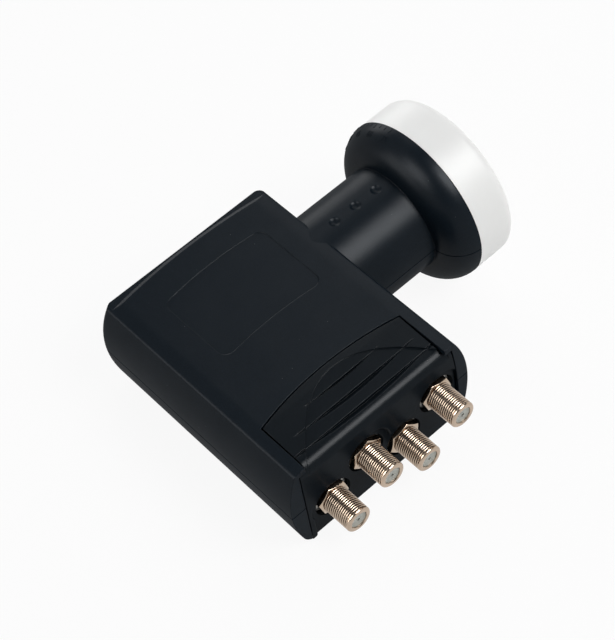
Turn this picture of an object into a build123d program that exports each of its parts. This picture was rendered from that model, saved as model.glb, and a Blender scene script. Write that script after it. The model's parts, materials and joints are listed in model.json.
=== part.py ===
from build123d import *
import os
from math import cos, radians

# Satellite LNB with four outputs. Millimetres, +Z up.
# The origin is on the neck's axis, in the length that a dish arm's clamp grips.
# The neck points along +X, the label face is up, and the connectors point along -Y.

# Neck and flare
NECK_RADIUS = 20.0
NECK_BACK = -12.7
NECK_END = 14.5
NECK_DRAFT = 0.05
CLAMP_LENGTH = 20.0
CLAMP_MARGIN = 2.0
FLARE_ARC = 10.9
FLARE_STEP = 0.2
JACKET_WALL = 2.2
JACKET_RIB = 2.0
JACKET_RIB_PLACES = (-5.0, 8.0)
DIMPLE_COUNT = 3
DIMPLE_PITCH = 9.2
DIMPLE_SHIFT = -0.5
DIMPLE_RIM_RADIUS = 2.0
DIMPLE_DEPTH = 0.8

# Housing
BODY_TOP_WIDTH = 66.8
BODY_BOTTOM_WIDTH = 65.4
BODY_BULGE = 4.1
BODY_HALF_HEIGHT = 20.1
BODY_FRONT = -62.8
BODY_BACK = 29.5
BACK_BULGE = 2.4
BODY_WALL = 2.2
BORDER_WIDTH = 3.9
BORDER_DROP = 0.6
BORDER_ROUND = 18.0
TOP_EDGE_RADIUS = 1.5
BOTTOM_EDGE_RADIUS = 8.0
BACK_ROUND_SHARE = 0.97
BACK_CORNER_RADIUS = 3.5
BACK_STEP_INSET = 1.9
BACK_STEP_BOW = 2.1
BACK_STEP_DEPTH = 0.5
BACK_STEP_RUN = 1.3
EAR_DEPTH = 3.0
SEAM_WIDTH = 0.24
SEAM_DEPTH = 1.0

# Label recess
LABEL_WIDTH = 41.6
LABEL_LENGTH = 30.7
LABEL_BOW = 1.6
LABEL_SHIFT = 1.1
LABEL_INSET = 12.5
LABEL_DEPTH = 0.25
LABEL_CORNER = 3.5

# Weather shield
SHIELD_SIDE = 1.95
SHIELD_PANEL_SIDE = 2.95
SHIELD_PANEL_LENGTH = 23.3
SHIELD_PANEL_BOW = 3.6
SHIELD_GAP = 0.6
SLIDE_GAP = 0.4
SHIELD_TRAVEL = 22.0
SHIELD_WALL = 2.2
SHIELD_PANEL_THICK = 2.6
SHIELD_FRONT_DROP = 1.0
SHIELD_EDGE_RADIUS = 4.0
SCALLOP_OVERLAP = 1.615
SCALLOP_RISE = 0.6
SCALLOP_DEPTH = 1.2
SCALLOP_EDGE_RADIUS = 1.0
SCALLOP_BLEND = 3.0
SCALLOP_CREASE = 0.8
SHIELD_FOOT_RADIUS = 1.1
SHIELD_BOW = 1.4
RIM_WIDTH = 2.2
HOLE_RADIUS = 7.2
GRIP_LENGTH = 21.3
GRIP_SHIFT = 1.2
GRIP_HALF_WIDTH = 29.6
GRIP_DEPTH_BACK = 0.25
GRIP_DEPTH_FRONT = 0.9
GROOVE_SETBACKS = (16.7, 11.0, 5.7)
GROOVE_BOWS = (1.0, 1.8, 2.2)
GROOVE_DEPTH = 1.3
RAIL_WIDTH = 9.0
RAIL_THICK = 1.8
RAIL_LENGTH = 50.8
GUIDE_WALL = 1.4
GUIDE_LENGTH = 26.8
UPPER_GUIDE_HEIGHT = 8.9
LOWER_GUIDE_HEIGHT = 4.5
LOWER_GUIDE_RISE = 0.5

# Connectors
CONNECTOR_COUNT = 4
CONNECTOR_LEFT = 10.85
CONNECTOR_RIGHT = 6.54
CONNECTOR_LOW = -8.1
CONNECTOR_HIGH = 0.15
CONNECTOR_REACH = 11.0
BARREL_RADIUS = 4.7625
BARREL_BORE = 3.05
BARREL_LIP = 0.8
SHANK_RADIUS = 4.2
SHANK_LENGTH = 6.8
INSULATOR_RECESS = 0.5
INSULATOR_LIP = 1.3
CONTACT_RADIUS = 0.5
CONTACT_MOUTH = 0.55
CONTACT_SLEEVE_RADIUS = 1.1
TAIL_INSULATOR_RADIUS = 2.4
NUT_ACROSS_FLATS = 11.0
NUT_THICK = 2.9
NUT_SETBACK = 0.2
NUT_CHAMFER = 0.5
NUT_TURNS = (15.0, -9.0, -15.0, 17.0)
WASHER_RADIUS = 6.7
WASHER_THICK = 0.8
NUT_SEAT_STEP = 0.5
THREAD_CLEARANCE = 0.12

# Feed cap
CAP_STEP = 0.1
CAP_LENGTH = 16.5
CAP_WALL = 1.6
CAP_EDGE_RADIUS = 3.6
CAP_DOME = 0.6
CAP_SPIGOT_GAP = 0.7
CAP_SPIGOT_WALL = 1.3
CAP_SPIGOT_LENGTH = 2.4
SEAL_THICK = 0.7
FIT_CLEARANCE = 0.1

# Casting
TRAY_SIDE_GAP = 0.35
TRAY_WALL = 1.7
TRAY_FRONT_BLOCK = 8.0
TRAY_BACK_GAP = 4.0
TRAY_FOOT = 3.9
TRAY_FLOOR = 2.5
CONNECTOR_BOSS_RADIUS = 7.0
GUIDE_BORE = 9.0
GUIDE_RADIUS = 12.0
GUIDE_BACK_WALL = 3.0
GUIDE_INSET = 14.2
HORN_GAP = 0.5
HORN_SETBACK = 0.4
HORN_RIM_LENGTH = 5.0
HORN_CONE_LENGTH = 5.0
HORN_RING_WALL = 1.6
HORN_GROOVE = 2.4
HORN_GROOVE_DEPTHS = (3.5, 5.0)
HORN_MOUTH_STEP = 2.9
GASKET_THICK = 0.5
COVER_THICK = 1.5
COVER_GAP = 0.7
COVER_BOSS_RADIUS = 3.0
COVER_SCREW_RADIUS = 1.2
COVER_SCREW_HEAD = 2.3
COVER_SCREW_LENGTH = 8.0
COVER_SCREW_INSET = 2.6
COVER_SCREW_MIDDLE = -16.5
SUPPORT_RADIUS = 3.0
SUPPORT_HALF_SPACING = 14.0
UPPER_SUPPORT_PLACES = (-25.0, 16.0)
LOWER_SUPPORT_PLACES = (-40.0, 16.0)

# Circuit board
BOARD_THICK = 1.6
BOARD_TOP = -3.0
BOARD_CLEARANCE = 0.5
BOARD_BOSS_RADIUS = 2.6
BOARD_SCREW_RADIUS = 1.0
BOARD_SCREW_HEAD = 1.9
BOARD_SCREW_HEAD_HEIGHT = 1.2
BOARD_SCREW_LENGTH = 5.0
BOARD_SCREW_PLACES = ((-14.0, 16.0), (-14.0, -30.0), (16.0, -30.0), (4.0, 18.0))
CONTACT_TAIL = 6.0
PROBE_RADIUS = 0.5
BUSH_RADIUS = 1.6
PROBE_RISE = 6.0
PROBE_TIP = 0.6
VERTICAL_PROBE_DEPTH = 4.0
HORIZONTAL_PROBE_DEPTH = 10.0
PROBE_FOOT = 1.6
TRANSISTOR_SIZE = (2.0, 1.3, 0.9)
TRANSISTOR_SIDE = 5.0
TRANSISTOR_ROWS = (-9.5, -3.5, 4.0, 9.5)
MIXER_SIZE = (5.0, 5.0, 0.9)
MIXER_SIDE = -4.0
MIXER_ROWS = (-6.5, 6.5)
REGULATOR_SIZE = (6.5, 3.5, 1.6)
REGULATOR_ROW = -33.0
CAPACITOR_SIZE = (1.6, 3.2, 1.2)
CAPACITOR_COUNT = 8
CAPACITOR_FIRST = -20.0
CAPACITOR_PITCH = 3.0
CAPACITOR_ROW = -21.0
SWITCH_SIZE = (7.0, 7.0, 0.9)
SWITCH_PLACE = (-15.0, -10.0)
CRYSTAL_SIZE = (3.2, 2.5, 0.8)
CRYSTAL_PLACE = (-15.0, 3.0)

# Places worked out from the sizes above
BODY_HALF_WIDTH = BODY_TOP_WIDTH / 2 + BODY_BULGE
BODY_MIDDLE = NECK_BACK - BODY_HALF_WIDTH
CLAMP_END = NECK_END - CLAMP_MARGIN
FLARE_RIM = NECK_END + FLARE_ARC
FLARE_RIM_RADIUS = NECK_RADIUS + FLARE_STEP + FLARE_ARC
JACKET_BORE = NECK_RADIUS - JACKET_WALL
CEILING = BODY_HALF_HEIGHT - BODY_WALL
PLATEAU_HALF = BODY_TOP_WIDTH / 2 - BORDER_WIDTH
BACK_STEP_MIDDLE = BODY_BACK - BACK_STEP_INSET
LABEL_BACK = BODY_BACK - LABEL_INSET
SHIELD_HALF = BODY_TOP_WIDTH / 2 - SHIELD_SIDE
SHIELD_PANEL_HALF = SHIELD_HALF - SHIELD_PANEL_SIDE
EAR_HALF = SHIELD_HALF + SLIDE_GAP
SHIELD_FRONT = BODY_FRONT
SHIELD_PANEL_BACK = SHIELD_FRONT + SHIELD_PANEL_LENGTH
GRIP_BACK = SHIELD_FRONT + GRIP_LENGTH
RAIL_BACK = SHIELD_FRONT + RAIL_LENGTH
GUIDE_BACK = SHIELD_FRONT + GUIDE_LENGTH
SHIELD_FLAT = SHIELD_FRONT + SCALLOP_DEPTH
SHIELD_REAR = SHIELD_FLAT + SHIELD_WALL
FLOOR_FRONT = SHIELD_REAR + SLIDE_GAP
RAIL_TOP = CEILING - SLIDE_GAP
UPPER_GUIDE_LOW = RAIL_TOP - UPPER_GUIDE_HEIGHT
CONNECTOR_FIRST = CONNECTOR_LEFT - SHIELD_HALF
CONNECTOR_PITCH = (2 * SHIELD_HALF - CONNECTOR_LEFT - CONNECTOR_RIGHT) / (CONNECTOR_COUNT - 1)
CONNECTOR_FACE = BODY_FRONT - CONNECTOR_REACH
SCALLOP_RADIUS = CONNECTOR_PITCH / 2 + SCALLOP_OVERLAP
NUT_FACE = BODY_FRONT + NUT_SETBACK
NUT_REAR = NUT_FACE + NUT_THICK
NUT_SEAT_RADIUS = BARREL_RADIUS - NUT_SEAT_STEP
NUT_BORE = NUT_SEAT_RADIUS + THREAD_CLEARANCE
COVER_TOP = RAIL_TOP - RAIL_THICK - COVER_GAP
COVER_BOTTOM = COVER_TOP - COVER_THICK
TRAY_TOP = COVER_BOTTOM - GASKET_THICK
TRAY_BOTTOM = TRAY_FOOT - CEILING
TRAY_FRONT = NUT_REAR + FIT_CLEARANCE + WASHER_THICK
TRAY_BACK = BODY_BACK - TRAY_BACK_GAP
TRAY_HALF_WIDTH = SHIELD_HALF - SLIDE_GAP - GUIDE_WALL - TRAY_SIDE_GAP
TRAY_INNER_HALF = TRAY_HALF_WIDTH - TRAY_WALL
TRAY_INNER_FRONT = TRAY_FRONT + TRAY_FRONT_BLOCK
TRAY_INNER_BACK = TRAY_BACK - TRAY_WALL
FLOOR_TOP = TRAY_BOTTOM + TRAY_FLOOR
LOWER_GUIDE_LOW = TRAY_BOTTOM + LOWER_GUIDE_RISE
LOWER_GUIDE_HIGH = LOWER_GUIDE_LOW + LOWER_GUIDE_HEIGHT
BOARD_BOTTOM = BOARD_TOP - BOARD_THICK
GUIDE_END = BODY_MIDDLE + GUIDE_INSET
GUIDE_OUTER_END = GUIDE_END - GUIDE_BACK_WALL
CAP_RADIUS = FLARE_RIM_RADIUS - CAP_STEP
CAP_SPIGOT_RADIUS = FLARE_RIM_RADIUS - JACKET_WALL - CAP_SPIGOT_GAP
CAP_SPIGOT_BORE = CAP_SPIGOT_RADIUS - CAP_SPIGOT_WALL
HORN_RIM_RADIUS = CAP_SPIGOT_BORE - HORN_GAP
HORN_FRONT = FLARE_RIM - HORN_SETBACK
HORN_RIM_BACK = HORN_FRONT - HORN_RIM_LENGTH
HORN_CONE_BACK = HORN_RIM_BACK - HORN_CONE_LENGTH
HORN_RINGS = len(HORN_GROOVE_DEPTHS) * (HORN_RING_WALL + HORN_GROOVE)
HORN_MOUTH_RADIUS = HORN_RIM_RADIUS - HORN_RINGS - HORN_MOUTH_STEP
CAP_BACK = FLARE_RIM + FIT_CLEARANCE
CAP_FRONT = CAP_BACK + CAP_LENGTH
FAR = 200.0

CONNECTORS = [
    (BODY_MIDDLE + CONNECTOR_FIRST + i * CONNECTOR_PITCH, CONNECTOR_HIGH if i % 2 else CONNECTOR_LOW)
    for i in range(CONNECTOR_COUNT)
]


def block(x0, x1, y0, y1, z0, z1):
    """A box between two corners."""
    return Pos((x0 + x1) / 2, (y0 + y1) / 2, (z0 + z1) / 2) * Box(x1 - x0, y1 - y0, z1 - z0)


def wide_block(half_width, y0, y1, z0, z1):
    """A box centred on the housing's middle plane."""
    return block(BODY_MIDDLE - half_width, BODY_MIDDLE + half_width, y0, y1, z0, z1)


def rod_x(radius, x0, x1, y=0.0, z=0.0):
    return Pos((x0 + x1) / 2, y, z) * Rot(0, 90, 0) * Cylinder(radius, x1 - x0)


def rod_y(radius, y0, y1, x=0.0, z=0.0):
    return Pos(x, (y0 + y1) / 2, z) * Rot(90, 0, 0) * Cylinder(radius, y1 - y0)


def rod_z(radius, z0, z1, x=0.0, y=0.0):
    return Pos(x, y, (z0 + z1) / 2) * Cylinder(radius, z1 - z0)


def turned(outline):
    """Turns an outline of (x, radius) edges about the X axis."""
    return revolve(make_face(outline), Axis.X)


def prism_z(outline, z0, z1):
    """An upright prism on a closed outline in plan, centred on the housing's middle plane."""
    return Pos(BODY_MIDDLE, 0, z0) * extrude(make_face(outline), z1 - z0)


def bowed_outline(half_width, front, back_middle, bow):
    """A plan outline with a straight front and sides, and a back edge that bows backwards."""
    corner = back_middle - bow
    return [
        ThreePointArc((-half_width, corner), (0, back_middle), (half_width, corner)),
        Line((half_width, corner), (half_width, front)),
        Line((half_width, front), (-half_width, front)),
        Line((-half_width, front), (-half_width, corner)),
    ]


def across_section(inset, border, top_radius, bottom_radius):
    """The housing's section across, with barrel sides; border adds the sloping strips beside the plateau."""
    top = BODY_HALF_HEIGHT - inset
    half = BODY_TOP_WIDTH / 2 - inset
    low_half = BODY_BOTTOM_WIDTH / 2 - inset
    shoulder = top - border
    edges = [
        ThreePointArc((half, shoulder), (half + BODY_BULGE, 0), (low_half, -top)),
        Line((low_half, -top), (-low_half, -top)),
        ThreePointArc((-low_half, -top), (-half - BODY_BULGE, 0), (-half, shoulder)),
    ]
    if border > 0:
        plateau = PLATEAU_HALF
        edges.append(Polyline((-half, shoulder), (-plateau, top), (plateau, top), (half, shoulder)))
    else:
        edges.append(Line((-half, top), (half, top)))
    section = make_face(edges)
    if bottom_radius > 0:
        section = fillet(section.vertices().group_by(Axis.Y)[0], bottom_radius)
    if top_radius > 0:
        section = fillet(section.vertices().filter_by(lambda v: abs(v.Y - shoulder) < 1e-4), top_radius)
    if border > 0:
        section = fillet(section.vertices().group_by(Axis.Y)[-1], BORDER_ROUND)
    return section


def along_section(inset, front, top_radius, bottom_radius):
    """The housing's section along, with a bowed back wall."""
    top = BODY_HALF_HEIGHT - inset
    back = BODY_BACK - inset
    section = make_face([
        ThreePointArc((back, top), (back + BACK_BULGE, 0), (back, -top)),
        Polyline((back, -top), (front, -top), (front, top), (back, top)),
    ])
    for level, radius in ((-top, bottom_radius), (top, top_radius)):
        if radius > 0:
            corner = section.vertices().sort_by_distance((back, level))[0]
            section = fillet(corner, radius)
    return section


def housing_form(inset, front, border=0.0, top_radius=0.0, bottom_radius=0.0):
    """A solid of the housing's outer form, drawn in by inset on every side but the front."""
    across = Plane.XZ * across_section(inset, border, top_radius, bottom_radius)
    across_bar = Pos(BODY_MIDDLE, 0, 0) * extrude(across, FAR, both=True)
    back_radii = (top_radius * BACK_ROUND_SHARE, bottom_radius * BACK_ROUND_SHARE)
    along = Plane.YZ * along_section(inset, front, *back_radii)
    along_bar = Pos(BODY_MIDDLE, 0, 0) * extrude(along, FAR, both=True)
    return across_bar & along_bar


def core_form():
    """The hollow inside the housing's wall."""
    front = BODY_FRONT + EAR_DEPTH
    core = housing_form(BODY_WALL, front)
    low = core.edges().group_by(Axis.Z)[0]
    return fillet(low.filter_by(lambda e: e.center().Y > front + BODY_WALL), BOTTOM_EDGE_RADIUS - BODY_WALL)


def outer_form():
    """The housing's outside: rounded upright corners at the back, then rounded edges all round."""
    sharp = housing_form(0.0, BODY_FRONT)
    corners = sharp.edges().filter_by(lambda e: e.bounding_box().size.Z > BODY_HALF_HEIGHT)
    corners = corners.filter_by(lambda e: e.center().Y > BODY_BACK - BODY_WALL)
    cornered = fillet(corners, BACK_CORNER_RADIUS)
    return cornered & housing_form(0.0, BODY_FRONT, BORDER_DROP, TOP_EDGE_RADIUS, BOTTOM_EDGE_RADIUS)


def jacket_outside():
    """The neck jacket, with a little draft beside the clamp's length, and the horn flare."""
    start = BODY_MIDDLE
    return turned([
        Polyline(
            (start, 0),
            (start, NECK_RADIUS - NECK_DRAFT),
            (CLAMP_END - CLAMP_LENGTH, NECK_RADIUS),
            (CLAMP_END, NECK_RADIUS),
            (NECK_END, NECK_RADIUS + NECK_DRAFT),
            (NECK_END, NECK_RADIUS + FLARE_STEP),
        ),
        flare_arc(FLARE_ARC),
        Polyline((FLARE_RIM, FLARE_RIM_RADIUS), (FLARE_RIM, 0), (start, 0)),
    ])


def flare_arc(radius):
    """A quarter round from the neck out to the flare's rim."""
    centre = NECK_RADIUS + FLARE_STEP
    diagonal = radius * cos(radians(45))
    return ThreePointArc(
        (FLARE_RIM - radius, centre),
        (FLARE_RIM - diagonal, centre + diagonal),
        (FLARE_RIM, centre + radius),
    )


def jacket_inside():
    start = BODY_MIDDLE
    inner_arc = FLARE_ARC - JACKET_WALL
    neck_inner_end = FLARE_RIM - inner_arc
    rim = NECK_RADIUS + FLARE_STEP + inner_arc
    return turned([
        Polyline(
            (start, 0),
            (start, JACKET_BORE),
            (neck_inner_end, JACKET_BORE),
            (neck_inner_end, NECK_RADIUS + FLARE_STEP),
        ),
        flare_arc(inner_arc),
        Polyline((FLARE_RIM, rim), (FLARE_RIM, 0), (start, 0)),
    ])


def jacket_ribs():
    """Rings inside the jacket that carry the waveguide."""
    ribs = []
    for place in JACKET_RIB_PLACES:
        ring = rod_x(JACKET_BORE + FIT_CLEARANCE, place - JACKET_RIB / 2, place + JACKET_RIB / 2)
        ribs.append(ring - rod_x(GUIDE_RADIUS + FIT_CLEARANCE, place - JACKET_RIB, place + JACKET_RIB))
    return ribs


def label_recess():
    half = LABEL_WIDTH / 2
    front = LABEL_BACK - LABEL_LENGTH
    back_corner = LABEL_BACK - LABEL_BOW
    front_corner = front - LABEL_BOW
    outline = [
        ThreePointArc((-half, back_corner), (0, LABEL_BACK), (half, back_corner)),
        Line((half, back_corner), (half, front_corner)),
        ThreePointArc((half, front_corner), (0, front), (-half, front_corner)),
        Line((-half, front_corner), (-half, back_corner)),
    ]
    face = make_face(outline)
    face = fillet(face.vertices(), LABEL_CORNER)
    return Pos(BODY_MIDDLE + LABEL_SHIFT, 0, BODY_HALF_HEIGHT - LABEL_DEPTH) * extrude(face, BODY_WALL)


def back_step():
    """The strip behind the plateau that lies a little lower, past a bowed slope."""
    bow_radius = (PLATEAU_HALF**2 + BACK_STEP_BOW**2) / (2 * BACK_STEP_BOW)
    floor = BODY_HALF_HEIGHT - BACK_STEP_DEPTH
    height = BACK_STEP_DEPTH + BODY_WALL
    draw_in = BACK_STEP_RUN * BODY_WALL / BACK_STEP_DEPTH
    strip = wide_block(BODY_HALF_WIDTH + BODY_WALL, LABEL_BACK, FAR, floor, floor + height)
    plateau = Cone(bow_radius + BACK_STEP_RUN, bow_radius - draw_in, height)
    return strip - Pos(BODY_MIDDLE, BACK_STEP_MIDDLE - bow_radius, floor + height / 2) * plateau


def dimples():
    """Round dimples along the top of the neck."""
    ball = (DIMPLE_RIM_RADIUS**2 + DIMPLE_DEPTH**2) / (2 * DIMPLE_DEPTH)
    first = DIMPLE_SHIFT - DIMPLE_PITCH * (DIMPLE_COUNT - 1) / 2
    height = NECK_RADIUS - DIMPLE_DEPTH + ball
    return [Pos(first + i * DIMPLE_PITCH, 0, height) * Sphere(ball) for i in range(DIMPLE_COUNT)]


def seam_groove():
    """A fine groove round the housing where the two halves meet."""
    slab = block(-FAR, FAR, -FAR, FAR, -SEAM_WIDTH / 2, SEAM_WIDTH / 2)
    flare_inside = FLARE_RIM_RADIUS - SEAM_DEPTH
    slab -= housing_form(SEAM_DEPTH, BODY_FRONT + SEAM_DEPTH)
    slab -= rod_x(NECK_RADIUS - SEAM_DEPTH, BODY_MIDDLE, FLARE_RIM)
    slab -= turned([
        Polyline((NECK_END, 0), (NECK_END + SEAM_DEPTH, NECK_RADIUS + FLARE_STEP)),
        flare_arc(FLARE_ARC - SEAM_DEPTH),
        Polyline((FLARE_RIM, flare_inside), (FLARE_RIM, 0), (NECK_END, 0)),
    ])
    return slab


def supports(places, z0, z1):
    posts = []
    for y in places:
        for side in (-1, 1):
            posts.append(rod_z(SUPPORT_RADIUS, z0, z1, BODY_MIDDLE + side * SUPPORT_HALF_SPACING, y))
    return posts


def shells():
    """Upper and lower half of the housing."""
    whole = outer_form() + jacket_outside()
    whole -= core_form()
    whole -= jacket_inside()
    whole += [rib & jacket_outside() for rib in jacket_ribs()]
    whole -= front_prism(shield_face(SLIDE_GAP), BODY_FRONT - EAR_DEPTH, FLOOR_FRONT)
    whole -= seam_groove()
    upper = whole & block(-FAR, FAR, -FAR, FAR, 0, FAR)
    lower = whole & block(-FAR, FAR, -FAR, FAR, -FAR, 0)
    opening = bowed_outline(
        SHIELD_PANEL_HALF + SHIELD_GAP,
        BODY_FRONT - EAR_DEPTH,
        SHIELD_PANEL_BACK + SHIELD_GAP,
        SHIELD_PANEL_BOW,
    )
    upper -= prism_z(opening, CEILING - BODY_WALL, BODY_HALF_HEIGHT + BODY_WALL)
    upper -= [label_recess(), back_step(), *dimples()]
    upper += supports(UPPER_SUPPORT_PLACES, COVER_TOP, CEILING + BODY_WALL / 2)
    lower += supports(LOWER_SUPPORT_PLACES, -CEILING - BODY_WALL / 2, TRAY_BOTTOM)
    return upper, lower


def front_prism(face, y0, y1):
    """A prism along Y on a face drawn in the front view, with X from the housing's middle plane."""
    return Pos(BODY_MIDDLE, y1, 0) * extrude(Plane.XZ * face, y1 - y0)


def shield_face(grow):
    """The front wall in front view; the side beside the last connector bows out round its hole."""
    half = SHIELD_HALF + grow
    top = RAIL_TOP + grow
    low = -BODY_HALF_HEIGHT - grow
    return make_face([
        Polyline((half, top), (-half, top), (-half, low), (half, low)),
        ThreePointArc((half, low), (half + SHIELD_BOW, (top + low) / 2), (half, top)),
    ])


def scallop():
    """The flat that is set back round the connector holes, with blends between the holes."""
    outer = EAR_HALF + SHIELD_BOW + RIM_WIDTH
    inner = SHIELD_HALF - RIM_WIDTH
    low = min(z for _, z in CONNECTORS)
    high = max(z for _, z in CONNECTORS)
    middle = (low + high) / 2
    face = Pos((outer - inner) / 2, middle - FAR / 2) * Rectangle(outer + inner, FAR)
    for x, z in CONNECTORS:
        face += Pos(x - BODY_MIDDLE, z + SCALLOP_RISE) * Circle(SCALLOP_RADIUS)
    for i in range(CONNECTOR_COUNT - 1):
        between = (CONNECTORS[i][0] + CONNECTORS[i + 1][0]) / 2 - BODY_MIDDLE
        cusp = face.vertices().sort_by_distance((between, middle + SCALLOP_RADIUS / 2))[0]
        face = fillet(cusp, SCALLOP_CREASE if i % 2 else SCALLOP_BLEND)
    return front_prism(face, SHIELD_FRONT - SCALLOP_DEPTH, SHIELD_FLAT)


def panel_top():
    """A wedge above the shield's top, which slopes down to the front from the flat plateau."""
    front = SHIELD_FRONT - SLIDE_GAP
    back = SHIELD_PANEL_BACK - SHIELD_PANEL_BOW
    top = BODY_HALF_HEIGHT
    outline = Polyline(
        (back, top),
        (front, top - SHIELD_FRONT_DROP),
        (front, top + BODY_WALL),
        (back, top + BODY_WALL),
        close=True,
    )
    return Pos(BODY_MIDDLE, 0, 0) * extrude(Plane.YZ * make_face(outline), FAR, both=True)


def grip_section():
    """The air above the grip's floor and in front of its rounded front edge, seen from the side."""
    front = SHIELD_FRONT - SLIDE_GAP
    top = BODY_HALF_HEIGHT
    edge_height = top - SHIELD_FRONT_DROP - GRIP_DEPTH_FRONT
    section = make_face(Polyline(
        (GRIP_BACK, top - GRIP_DEPTH_BACK),
        (SHIELD_FRONT, edge_height),
        (SHIELD_FRONT, edge_height - 2 * SHIELD_EDGE_RADIUS),
        (front, edge_height - 2 * SHIELD_EDGE_RADIUS),
        (front, top + BODY_WALL),
        (GRIP_BACK, top + BODY_WALL),
        close=True,
    ))
    return fillet(section.vertices().sort_by_distance((SHIELD_FRONT, edge_height))[0], SHIELD_EDGE_RADIUS)


def grip():
    """The half-moon finger grip: a parabola in plan with a floor that slopes down to the front."""
    front = SHIELD_FRONT - SLIDE_GAP
    reach = GRIP_HALF_WIDTH
    peak = 2 * GRIP_BACK - front
    outline = [
        Bezier((-reach, front), (0, peak), (reach, front)),
        Line((reach, front), (-reach, front)),
    ]
    air = Pos(BODY_MIDDLE, 0, 0) * extrude(Plane.YZ * grip_section(), FAR, both=True)
    column = Pos(GRIP_SHIFT, 0, 0) * prism_z(outline, 0, BODY_HALF_HEIGHT + BODY_WALL)
    return column & air


def grooves():
    """Crescent pockets across the finger grip: a straight back wall, and a floor that rises to the front."""
    front = SHIELD_FRONT - SLIDE_GAP
    slope = (SHIELD_FRONT_DROP + GRIP_DEPTH_FRONT - GRIP_DEPTH_BACK) / (GRIP_BACK - front)
    cuts = []
    for setback, bow in zip(GROOVE_SETBACKS, GROOVE_BOWS):
        place = SHIELD_FRONT + setback
        share = (GRIP_BACK - place) / (GRIP_BACK - front)
        half = GRIP_HALF_WIDTH * share**0.5
        bow_radius = (half**2 + bow**2) / (2 * bow)
        surface = BODY_HALF_HEIGHT - GRIP_DEPTH_BACK - slope * (GRIP_BACK - place + bow)
        low, high = surface - GROOVE_DEPTH, surface + BODY_WALL
        scoop = Cone(bow_radius - bow, bow_radius + bow * BODY_WALL / GROOVE_DEPTH, high - low)
        middle = Pos(BODY_MIDDLE + GRIP_SHIFT, place - bow + bow_radius, (low + high) / 2)
        cuts.append(middle * scoop & wide_block(FAR, front, place, low, high))
    return cuts


def on_scallop(point):
    """True inside the front wall's outline, where only the scallop's edge runs."""
    across = abs(point.X - BODY_MIDDLE) < SHIELD_HALF - SLIDE_GAP
    return across and point.Z < CEILING - SHIELD_EDGE_RADIUS


def weather_shield():
    panel_low = RAIL_TOP - RAIL_THICK
    panel = prism_z(
        bowed_outline(SHIELD_PANEL_HALF, SHIELD_FRONT, SHIELD_PANEL_BACK, SHIELD_PANEL_BOW),
        BODY_HALF_HEIGHT - SHIELD_PANEL_THICK - RAIL_THICK / 2,
        BODY_HALF_HEIGHT,
    )
    panel -= panel_top()
    wall = front_prism(shield_face(0.0), SHIELD_FRONT, SHIELD_REAR)
    shield = panel + wall
    edges = shield.edges().filter_by(Axis.X).filter_by(lambda e: abs(e.center().Y - SHIELD_FRONT) < 1e-3)
    edges = edges.sort_by(Axis.Z)
    shield = fillet(edges[-1], SHIELD_EDGE_RADIUS)
    foot = shield.edges().filter_by(Axis.X).filter_by(lambda e: abs(e.center().Y - SHIELD_FRONT) < 1e-3)
    shield = fillet(foot.sort_by(Axis.Z)[0], SHIELD_FOOT_RADIUS)
    shield -= scallop()
    lip = shield.edges().filter_by(lambda e: abs(e.center().Y - SHIELD_FRONT) < 1e-3)
    lip = lip.filter_by(lambda e: on_scallop(e.center()))
    shield = fillet(lip, SCALLOP_EDGE_RADIUS)
    shield -= grip()
    shield -= grooves()
    for x, z in CONNECTORS:
        shield -= rod_y(HOLE_RADIUS, SHIELD_FRONT - SCALLOP_DEPTH, SHIELD_REAR + SHIELD_WALL, x, z)
    for side in (-1, 1):
        outside = BODY_MIDDLE + side * (SHIELD_HALF - SLIDE_GAP)
        rail_in = outside - side * RAIL_WIDTH
        guide_in = outside - side * GUIDE_WALL
        rail_x = sorted((outside, rail_in))
        guide_x = sorted((outside, guide_in))
        shield += block(*rail_x, SHIELD_REAR - SHIELD_WALL / 2, RAIL_BACK, panel_low, RAIL_TOP)
        shield += block(*guide_x, SHIELD_REAR - SHIELD_WALL / 2, GUIDE_BACK, UPPER_GUIDE_LOW, RAIL_TOP)
        shield += block(
            *guide_x, SHIELD_REAR - SHIELD_WALL / 2, GUIDE_BACK, LOWER_GUIDE_LOW, LOWER_GUIDE_HIGH
        )
    return shield


def feed_cap():
    shell_r = CAP_RADIUS - CAP_WALL
    web = CAP_BACK + CAP_WALL
    face_edge = CAP_FRONT - CAP_DOME
    inner_face = face_edge - CAP_WALL
    diagonal = CAP_EDGE_RADIUS * (1 - cos(radians(45)))
    spigot_back = CAP_BACK - CAP_SPIGOT_LENGTH
    outside = [
        Polyline((CAP_BACK, 0), (CAP_BACK, CAP_RADIUS), (face_edge - CAP_EDGE_RADIUS, CAP_RADIUS)),
        ThreePointArc(
            (face_edge - CAP_EDGE_RADIUS, CAP_RADIUS),
            (face_edge - diagonal, CAP_RADIUS - diagonal),
            (face_edge, CAP_RADIUS - CAP_EDGE_RADIUS),
        ),
        Bezier(
            (face_edge, CAP_RADIUS - CAP_EDGE_RADIUS),
            (CAP_FRONT, CAP_RADIUS / 2),
            (CAP_FRONT, 0),
        ),
        Line((CAP_FRONT, 0), (CAP_BACK, 0)),
    ]
    cap = turned(outside)
    hollow = rod_x(shell_r, web, inner_face)
    rim = hollow.edges().filter_by(GeomType.CIRCLE).sort_by(Axis.X)[-1]
    cap -= fillet(rim, CAP_EDGE_RADIUS - CAP_WALL)
    cap += rod_x(CAP_SPIGOT_RADIUS, spigot_back, web)
    cap -= rod_x(CAP_SPIGOT_BORE, spigot_back - CAP_WALL, web + FIT_CLEARANCE)
    return cap


def cap_seal():
    front = CAP_BACK - CAP_SPIGOT_LENGTH
    outside = CAP_SPIGOT_RADIUS - FIT_CLEARANCE
    ring = rod_x(outside, front - SEAL_THICK, front)
    return ring - rod_x(CAP_SPIGOT_BORE, front - 2 * SEAL_THICK, front + SEAL_THICK)


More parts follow.
